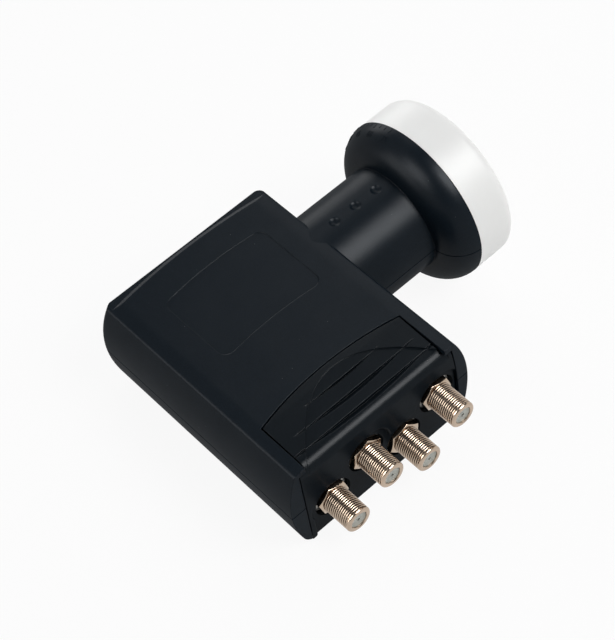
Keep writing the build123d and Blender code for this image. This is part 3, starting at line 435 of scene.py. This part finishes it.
def turned_metal(name, dull, bright, roughness, line_mm, patch_mm):
    """Plating over turned metal: faint lines round the Y axis, and patches where the plating has dulled. The
    lines are drawn coarser than real turning marks, which are too fine to show."""
    line_size = line_mm * MM
    line_depth = 0.001 * MM
    patch_size = patch_mm * MM
    material, tree, coords = new_material(name)
    along = node(tree, "ShaderNodeMapping", {"Vector": coords, "Scale": (0.05, 1.0, 0.05)})
    lines = node(tree, "ShaderNodeTexNoise", {"Vector": along.outputs["Vector"], "Scale": 1 / line_size})
    patches = node(tree, "ShaderNodeTexNoise", {"Vector": coords, "Scale": 1 / patch_size, "Detail": 1.0})
    tone = node(tree, "ShaderNodeValToRGB", {"Fac": patches.outputs["Fac"]}, ((0.3, dull), (0.62, bright)))
    satin = node(tree, "ShaderNodeMapRange", {
        "Value": patches.outputs["Fac"], "To Min": roughness + 0.1, "To Max": roughness - 0.1
    })
    bumps = node(tree, "ShaderNodeBump", {"Height": lines.outputs["Fac"], "Distance": line_depth})
    return close_material(material, tree, {
        "Base Color": tone.outputs["Color"],
        "Metallic": 1.0,
        "Roughness": satin.outputs["Result"],
        "Normal": bumps.outputs["Normal"],
    })


def grainy_metal(name, dark, light, roughness, grain_mm, depth_mm):
    """Cast, stamped or drawn metal: a grainy skin whose tone and shine vary together."""
    grain_size = grain_mm * MM
    material, tree, coords = new_material(name)
    grain = node(tree, "ShaderNodeTexNoise", {"Vector": coords, "Scale": 1 / grain_size, "Detail": 4.0})
    tone = node(tree, "ShaderNodeValToRGB", {"Fac": grain.outputs["Fac"]}, ((0.3, dark), (0.7, light)))
    satin = node(tree, "ShaderNodeMapRange", {
        "Value": grain.outputs["Fac"], "To Min": roughness - 0.1, "To Max": roughness + 0.1
    })
    bumps = node(tree, "ShaderNodeBump", {"Height": grain.outputs["Fac"], "Distance": depth_mm * MM})
    return close_material(material, tree, {
        "Base Color": tone.outputs["Color"],
        "Metallic": 1.0,
        "Roughness": satin.outputs["Result"],
        "Normal": bumps.outputs["Normal"],
    })


def lacquered_board(name, lacquer, track, track_mm):
    """Printed circuit board: green lacquer over copper tracks, which show as paler raised bars."""
    track_width = track_mm * MM
    track_depth = 0.03 * MM
    material, tree, coords = new_material(name)
    bars = node(tree, "ShaderNodeTexBrick", {
        "Vector": coords,
        "Color1": track,
        "Color2": lacquer,
        "Mortar": lacquer,
        "Scale": 1 / (8 * track_width),
    })
    film = node(tree, "ShaderNodeTexNoise", {"Vector": coords, "Scale": 1 / track_width})
    satin = node(tree, "ShaderNodeMapRange", {"Value": film.outputs["Fac"], "To Min": 0.22, "To Max": 0.42})
    bumps = node(tree, "ShaderNodeBump", {
        "Height": bars.outputs["Fac"], "Distance": track_depth
    }, invert=True)
    return close_material(material, tree, {
        "Base Color": bars.outputs["Color"],
        "Roughness": satin.outputs["Result"],
        "Normal": bumps.outputs["Normal"],
    })


class LNB_OT_housing(bpy.types.Operator):
    """Finishes the two halves of the housing"""

    bl_idname = "lnb.housing"
    bl_label = "Housing"

    def execute(self, context):
        colours = context.scene.lnb_colours
        finish = eroded_plastic(
            "ASA, blue-black, spark-eroded mould",
            colours.housing,
            shine=0.14,
            coat_ior=1.6,
            roughness=0.33,
            rounding=0.4 * MM,
            # Half-width of the painted shade along the parting line at z 0
            seam=0.3 * MM,
        )
        finish_nodes(("upper_shell", "lower_shell"), finish)
        return {"FINISHED"}


class LNB_OT_shield(bpy.types.Operator):
    """Finishes the sliding weather shield"""

    bl_idname = "lnb.shield"
    bl_label = "Weather shield"

    def execute(self, context):
        colours = context.scene.lnb_colours
        finish = eroded_plastic(
            "ASA, blue-black, fine satin mould",
            colours.shield,
            shine=0.09,
            coat_ior=1.8,
            roughness=0.31,
            rounding=0.3 * MM,
        )
        finish_nodes(("weather_shield",), finish)
        return {"FINISHED"}


class LNB_OT_cap(bpy.types.Operator):
    """Finishes the feed cap"""

    bl_idname = "lnb.cap"
    bl_label = "Feed cap"

    def execute(self, context):
        colours = context.scene.lnb_colours
        finish = smooth_plastic(
            "ASA, white, satin mould", colours.cap, roughness=0.46, contrast=0.012, mottle_mm=14
        )
        finish_nodes(("feed_cap",), finish)
        return {"FINISHED"}


def thread_sleeve(sizes):
    """A threaded sleeve about the Y axis: one pitch of the profile, swept along a screw and cut square."""
    pitch = sizes.thread_pitch
    depth = sizes.thread_depth
    root = CREST_RADIUS - depth
    front = FACE_Y + sizes.nose_length
    back = NUT_FACE_Y + pitch
    start = front - 2 * pitch
    profile = [(root + up * depth, start + on * pitch, 0.0) for on, up in THREAD_PROFILE]
    piece = draw_profile("thread", profile)
    pick(piece)
    screw = piece.modifiers.new("Thread", "SCREW")
    screw.axis = "Y"
    screw.screw_offset = pitch
    screw.steps = screw.render_steps = THREAD_STEPS
    screw.iterations = int((back - start) / pitch) + 2
    screw.use_merge_vertices = True
    screw.merge_threshold = MERGE_DISTANCE
    bpy.ops.object.modifier_apply(modifier=screw.name)
    bpy.ops.object.mode_set(mode="EDIT")
    bpy.ops.mesh.select_all(action="SELECT")
    bpy.ops.mesh.bisect(plane_co=(0, front, 0), plane_no=(0, 1, 0), clear_inner=True)
    bpy.ops.mesh.select_all(action="SELECT")
    bpy.ops.mesh.bisect(plane_co=(0, back, 0), plane_no=(0, 1, 0), clear_outer=True)
    bpy.ops.mesh.select_mode(type="EDGE")
    bpy.ops.mesh.select_all(action="DESELECT")
    bpy.ops.mesh.select_non_manifold(use_multi_face=False, use_non_contiguous=False, use_verts=False)
    bpy.ops.mesh.extrude_edges_move(TRANSFORM_OT_translate={"value": (0, 0, 0)})
    share = (sizes.bore_radius + WALL_OVERLAP) / root
    bpy.ops.transform.resize(value=(share, 1, share), center_override=(0, 0, 0))
    bpy.ops.mesh.bridge_edge_loops()
    bpy.ops.mesh.select_mode(type="VERT")
    close_mesh()
    leave_edit_mode()
    return piece


def nose_ring(sizes):
    """The plain rounded nose, with a chamfered mouth and a step down to the thread's root."""
    bore = sizes.bore_radius
    chamfer = sizes.mouth_chamfer
    lip = sizes.nose_rounding
    back = FACE_Y + sizes.nose_length
    root = CREST_RADIUS - sizes.thread_depth
    outline = [(bore, back + NOSE_GROOVE), (bore, FACE_Y + chamfer), (bore + chamfer, FACE_Y)]
    for i in range(ROUNDING_STEPS + 1):
        turn = radians(90 * i / ROUNDING_STEPS)
        outline.append((CREST_RADIUS - lip + lip * sin(turn), FACE_Y + lip - lip * cos(turn)))
    outline += [(CREST_RADIUS, back - NOSE_GROOVE), (root, back), (root, back + NOSE_GROOVE)]
    return turned_ring("nose", outline, NOSE_STEPS)


def shank_ring(sizes):
    """The plain shank behind the thread, which the nut and the casting hide."""
    seat = CREST_RADIUS - SEAT_STEP
    shank = seat - SHANK_STEP
    step = (WASHER_BACK_Y + SHANK_END_Y) / 2
    return turned_ring("shank", [
        (sizes.bore_radius, NUT_FACE_Y + sizes.thread_pitch),
        (seat, NUT_FACE_Y + sizes.thread_pitch),
        (seat, WASHER_BACK_Y),
        (shank, WASHER_BACK_Y),
        (shank, SHANK_END_Y),
        (sizes.tail_radius, SHANK_END_Y),
        (sizes.tail_radius, step),
        (sizes.bore_radius, step),
    ], SHANK_STEPS)


class LNB_OT_outputs(bpy.types.Operator):
    """Models the threaded barrel of an output and copies it to the four outputs"""

    bl_idname = "lnb.outputs"
    bl_label = "Threaded outputs"

    def execute(self, context):
        sizes = context.scene.lnb_sizes
        colours = context.scene.lnb_colours
        nickel, root_shade = colours.nickel, colours.root_shade
        bright = turned_metal(
            "Brass, turned and nickel plated",
            shaded(nickel, 0.9),
            nickel,
            roughness=0.2,
            line_mm=0.4,
            patch_mm=4.0,
        )
        # The roots' finish: darker nickel, painted shade in the hollows of the thread
        dull = turned_metal(
            "Nickel plating, painted shade in the roots",
            shaded(root_shade, 0.7),
            root_shade,
            roughness=0.42,
            line_mm=0.4,
            patch_mm=3.0,
        )
        barrel = thread_sleeve(sizes)
        pick(barrel, nose_ring(sizes), shank_ring(sizes))
        bpy.ops.object.join()
        smooth(barrel, 40)
        # Faces of the thread deeper than the bright share get the darker root finish, painted shade
        limit = CREST_RADIUS - BRIGHT_SHARE * sizes.thread_depth
        first = FACE_Y + sizes.nose_length
        for face in barrel.data.polygons:
            off_axis = Vector((face.center.x, face.center.z)).length
            face.material_index = int(face.center.y > first and off_axis < limit)
        for number, axis in enumerate(OUTPUT_AXES, start=1):
            piece = placed_copy(barrel, f"output_barrel_{number}", axis)
            finish_piece(piece, "housing", "nickel_brass", bright, dull)
            for face, made in zip(piece.data.polygons, barrel.data.polygons):
                face.material_index = made.material_index
            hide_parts(f"connector_body_{number}")
        bpy.data.objects.remove(barrel)
        return {"FINISHED"}


class LNB_OT_nuts(bpy.types.Operator):
    """Rounds the edges of the hex nuts and finishes nuts, washers, insulators and contacts"""

    bl_idname = "lnb.nuts"
    bl_label = "Nuts and contacts"

    def execute(self, context):
        sizes = context.scene.lnb_sizes
        colours = context.scene.lnb_colours
        nickel, washer = colours.nickel, colours.washer
        bright = turned_metal(
            "Brass hexagon, nickel plated",
            shaded(nickel, 0.85),
            nickel,
            roughness=0.2,
            line_mm=0.4,
            patch_mm=2.2,
        )
        plated = grainy_metal(
            "Spring steel, zinc plated",
            shaded(washer, 0.8),
            washer,
            roughness=0.32,
            grain_mm=0.5,
            depth_mm=0.004,
        )
        bronze = grainy_metal(
            "Phosphor bronze, drawn",
            linear("#a97a4a"),
            linear("#c79a63"),
            roughness=0.32,
            grain_mm=0.4,
            depth_mm=0.003,
        )
        pale = smooth_plastic(
            "Polyethylene, natural", colours.insulator, roughness=0.4, contrast=0.03, mottle_mm=1.5
        )
        for number in range(1, len(OUTPUTS) + 1):
            nut = merged_copy(f"output_nut_{number}", f"connector_nut_{number}")
            bpy.context.view_layer.objects.active = nut
            bpy.ops.object.mode_set(mode="EDIT")
            bpy.ops.mesh.select_all(action="SELECT")
            bpy.ops.mesh.dissolve_limited(angle_limit=radians(1))
            leave_edit_mode()
            pick(nut)
            edge = nut.modifiers.new("Edges", "BEVEL")
            edge.width = sizes.nut_edge
            edge.segments = NUT_EDGE_STEPS
            edge.limit_method = "ANGLE"
            edge.angle_limit = NUT_SHARP_ANGLE
            bpy.ops.object.modifier_apply(modifier=edge.name)
            smooth(nut, 35)
            finish_piece(nut, "housing", "nickel_brass", bright)
            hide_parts(f"connector_nut_{number}")
            finish_nodes((f"connector_washer_{number}",), plated)
            finish_nodes((f"connector_contact_{number}",), bronze)
            finish_nodes((f"connector_insulator_{number}",), pale)
        finish_nodes(PROBE_NODES, bronze)
        return {"FINISHED"}


def on_flare(sizes, turn, rise, lift):
    """A point on the flare's round: turn from the top, rise from the neck, lift off the surface."""
    radius = sizes.flare_rounding + lift
    out = FLARE_RIM_RADIUS - sizes.flare_rounding + radius * sin(rise)
    return Vector((FLARE_RIM_X - radius * cos(rise), out * sin(turn), out * cos(turn)))


def wrap_on_flare(piece, sizes, turn, rise):
    """Bends a flat piece round the flare: its x runs round, its y climbs to the rim, its z stands out."""
    for vertex in piece.data.vertices:
        x, y, z = vertex.co
        climb = rise + y / sizes.flare_rounding
        vertex.co = on_flare(sizes, turn - x / FLARE_RIM_RADIUS, climb, z)


class LNB_OT_scale(bpy.types.Operator):
    """Models the raised angle scale on the flare: marks and plain numerals"""

    bl_idname = "lnb.scale"
    bl_label = "Angle scale"

    def execute(self, context):
        sizes = context.scene.lnb_sizes
        colours = context.scene.lnb_colours
        finish = eroded_plastic(
            "ASA, blue-black, raised marks",
            colours.housing,
            shine=0.14,
            coat_ior=1.6,
            roughness=0.33,
            rounding=0.1 * MM,
        )
        marks = []
        for i in range(sizes.mark_count):
            turn = sizes.mark_first + i * sizes.mark_step
            labelled = i % sizes.long_mark_every == 0
            marks.append(self.mark(sizes, turn, labelled))
            if labelled:
                marks.append(self.numeral(sizes, turn, f"{round(90 - turn * 180 / pi)}"))
        pick(*marks)
        bpy.ops.object.join()
        scale = bpy.context.object
        scale.name = scale.data.name = "angle_scale"
        smooth(scale, 40)
        finish_piece(scale, "housing", "black_housing", finish)
        return {"FINISHED"}

    def mark(self, sizes, turn, long_mark):
        """A bar with bevelled edges."""
        low = LONG_MARK_FOOT if long_mark else SHORT_MARK_FOOT
        leave_edit_mode()
        bpy.ops.mesh.primitive_cube_add(size=1)
        bar = bpy.context.object
        run = (MARK_HEAD - low) * sizes.flare_rounding
        bar.scale = (sizes.mark_width, run, 2 * sizes.mark_height)
        bpy.ops.object.transform_apply(location=False, rotation=False, scale=True)
        bpy.ops.object.mode_set(mode="EDIT")
        bpy.ops.mesh.select_all(action="SELECT")
        bpy.ops.mesh.bevel(offset=0.3 * sizes.mark_height, segments=2, affect="EDGES")
        bpy.ops.mesh.select_all(action="SELECT")
        bpy.ops.mesh.bisect(plane_co=(0, 0, 0), plane_no=(0, 1, 0))
        leave_edit_mode()
        wrap_on_flare(bar, sizes, turn, (low + MARK_HEAD) / 2)
        return bar

    def numeral(self, sizes, turn, words):
        """A raised number, centred on its mark."""
        leave_edit_mode()
        bpy.ops.object.text_add()
        text = bpy.context.object
        text.data.body = words
        text.data.size = sizes.numeral_size
        text.data.align_x = "CENTER"
        text.data.align_y = "CENTER"
        text.data.extrude = sizes.mark_height
        text.data.offset = -STROKE_THINNING
        text.data.bevel_depth = 0.15 * sizes.mark_height
        text.data.resolution_u = 4
        bpy.ops.object.convert(target="MESH")
        mesh_piece = bpy.context.object
        bpy.ops.object.mode_set(mode="EDIT")
        close_mesh()
        leave_edit_mode()
        wrap_on_flare(mesh_piece, sizes, turn, NUMERAL_PLACE)
        return mesh_piece


class LNB_OT_inside(bpy.types.Operator):
    """Finishes the pieces inside the housing"""

    bl_idname = "lnb.inside"
    bl_label = "Pieces inside"

    def execute(self, context):
        cast = grainy_metal(
            "Aluminium, die cast",
            linear("#8f9294"),
            linear("#b4b6b7"),
            roughness=0.5,
            grain_mm=0.9,
            depth_mm=0.03,
        )
        steel = grainy_metal(
            "Steel, zinc plated",
            linear("#8c8f92"),
            linear("#c2c4c6"),
            roughness=0.32,
            grain_mm=0.6,
            depth_mm=0.005,
        )
        can = grainy_metal(
            "Crystal can, nickel plated",
            linear("#a3a29e"),
            linear("#c9c7c1"),
            roughness=0.28,
            grain_mm=0.5,
            depth_mm=0.003,
        )
        rubber = smooth_plastic(
            "Silicone rubber, grey", linear("#55585a"), roughness=0.66, contrast=0.08, mottle_mm=3
        )
        epoxy = smooth_plastic(
            "Epoxy chip package", linear("#1c1c1d"), roughness=0.56, contrast=0.1, mottle_mm=1
        )
        ceramic = smooth_plastic(
            "Ceramic capacitor body", linear("#a58a63"), roughness=0.42, contrast=0.12, mottle_mm=0.8
        )
        bush = smooth_plastic(
            "Fluoropolymer bush", linear("#e4e2dc"), roughness=0.45, contrast=0.03, mottle_mm=1.2
        )
        board = lacquered_board("Glass-epoxy board", linear("#1f5a34"), linear("#2f7a4a"), track_mm=0.5)
        finish_nodes(CAST_NODES, cast)
        finish_nodes(RUBBER_NODES, rubber)
        finish_nodes(SCREW_NODES, steel)
        finish_nodes(("main_board",), board)
        finish_nodes(CHIP_NODES, epoxy)
        finish_nodes(("filter_capacitors",), ceramic)
        finish_nodes(("reference_crystal",), can)
        finish_nodes(("probe_bushes",), bush)
        return {"FINISHED"}


def softbox(name, direction, size, watts, gloss_watts):
    """A square softbox that looks at the part's middle: one lamp for matt light, one for gloss."""
    middle = (CAD_BOX[0] + CAD_BOX[1]) / 2
    towards = Vector(direction).normalized()
    turn = towards.to_track_quat("Z", "Y").to_euler()
    for matt in (True, False):
        distance = MATT_LAMP_DISTANCE if matt else GLOSS_LAMP_DISTANCE
        leave_edit_mode()
        bpy.ops.object.light_add(type="AREA", location=middle + towards * distance, rotation=turn)
        lamp = bpy.context.object
        lamp.name = name if matt else f"{name}, gloss"
        lamp.data.size = size
        lamp.data.energy = watts if matt else gloss_watts
        lamp.visible_diffuse = matt
        lamp.visible_glossy = not matt


class LNB_OT_stage(bpy.types.Operator):
    """Sets up the floor, the studio light and the photograph's camera"""

    bl_idname = "lnb.stage"
    bl_label = "Stage"

    def execute(self, context):
        sizes = context.scene.lnb_sizes
        colours = context.scene.lnb_colours
        self.floor(sizes, colours)
        self.world(context.scene)
        for name, settings in SOFTBOXES.items():
            softbox(name, *settings)
        self.camera(context.scene)
        context.scene.view_settings.view_transform = "Standard"
        return {"FINISHED"}

    def floor(self, sizes, colours):
        """A pale floor that shows almost white to the camera and in reflections, and keeps the shadow."""
        leave_edit_mode()
        bpy.ops.mesh.primitive_plane_add(size=FLOOR_SIZE)
        floor = bpy.context.object
        floor.name = "studio_floor"
        turn = Matrix.Rotation(sizes.floor_tilt, 4, "Y")
        place = Matrix.Translation((FLARE_RIM_X, 0, -FLARE_RIM_RADIUS - sizes.floor_gap))
        floor.data.transform(place @ turn)
        material, tree, coords = new_material("Paper, white, matt")
        paths = node(tree, "ShaderNodeLightPath").outputs
        seen = paths["Is Camera Ray"]
        for name in ("Is Glossy Ray", "Is Transmission Ray"):
            seen = node(tree, "ShaderNodeMath", {0: seen, 1: paths[name]}, operation="MAXIMUM").outputs[0]
        share = node(tree, "ShaderNodeMath", {0: seen, 1: FLOOR_GLOW}, operation="MULTIPLY").outputs[0]
        fibre_size = 3 * MM
        fibres = node(tree, "ShaderNodeTexNoise", {"Vector": coords, "Scale": 1 / fibre_size})
        tone = node(tree, "ShaderNodeValToRGB", {"Fac": fibres.outputs["Fac"]}, (
            (0.3, shaded(colours.floor, 0.99)), (0.7, colours.floor)
        ))
        paper = node(tree, "ShaderNodeBsdfDiffuse", {"Color": tone.outputs["Color"]})
        glow = node(tree, "ShaderNodeEmission", {"Strength": 1.0})
        mix = node(tree, "ShaderNodeMixShader", {0: share, 1: paper.outputs[0], 2: glow.outputs[0]})
        node(tree, "ShaderNodeOutputMaterial", {"Surface": mix.outputs[0]})
        floor.data.materials.append(material)

    def world(self, scene):
        """A studio with pale walls and a dim ceiling."""
        scene.world = bpy.data.worlds.new("Studio")
        scene.world.use_nodes = True
        tree = scene.world.node_tree
        tree.nodes.clear()
        coords = node(tree, "ShaderNodeTexCoord").outputs["Generated"]
        height = node(tree, "ShaderNodeSeparateXYZ", {"Vector": coords})
        tone = node(tree, "ShaderNodeValToRGB", {"Fac": height.outputs["Z"]}, (
            (WALL_TOP, linear("#ffffff")), (CEILING_START, linear("#44464a"))
        ))
        walls = node(tree, "ShaderNodeBackground", {"Color": tone.outputs["Color"]})
        node(tree, "ShaderNodeOutputWorld", {"Surface": walls.outputs[0]})

    def camera(self, scene):
        """The photograph's camera."""
        leave_edit_mode()
        bpy.ops.object.camera_add()
        camera = bpy.context.object
        axes = Matrix((CAMERA_RIGHT, CAMERA_UP, CAMERA_BACK)).transposed().to_4x4()
        camera.matrix_world = Matrix.Translation(CAMERA_PLACE) @ axes
        camera.data.lens = camera.data.sensor_width * FOCAL_PIXELS / FRAME_HEIGHT
        camera.data.clip_start = 0.01
        scene.camera = camera


OPERATORS = (
    LNB_OT_housing,
    LNB_OT_shield,
    LNB_OT_cap,
    LNB_OT_outputs,
    LNB_OT_nuts,
    LNB_OT_scale,
    LNB_OT_inside,
    LNB_OT_stage,
)


class LNB_PT_panel(bpy.types.Panel):
    """Lists the operators, sizes and colours"""

    bl_idname = "LNB_PT_panel"
    bl_label = "Satellite LNB"
    bl_space_type = "VIEW_3D"
    bl_region_type = "UI"
    bl_category = "LNB"

    def draw(self, context):
        for operator in OPERATORS:
            self.layout.operator(operator.bl_idname)
        for group in (context.scene.lnb_sizes, context.scene.lnb_colours):
            for name in group.__annotations__:
                self.layout.prop(group, name)


CLASSES = (LnbSizes, LnbColours, *OPERATORS, LNB_PT_panel)


def register():
    for item in CLASSES:
        bpy.utils.register_class(item)
    bpy.types.Scene.lnb_sizes = PointerProperty(type=LnbSizes)
    bpy.types.Scene.lnb_colours = PointerProperty(type=LnbColours)


def unregister():
    del bpy.types.Scene.lnb_colours
    del bpy.types.Scene.lnb_sizes
    for item in reversed(CLASSES):
        bpy.utils.unregister_class(item)


def main():
    register()
    bpy.ops.lnb.housing()
    bpy.ops.lnb.shield()
    bpy.ops.lnb.cap()
    bpy.ops.lnb.outputs()
    bpy.ops.lnb.nuts()
    bpy.ops.lnb.scale()
    bpy.ops.lnb.inside()
    bpy.ops.lnb.stage()


if __name__ == "__main__":
    main()
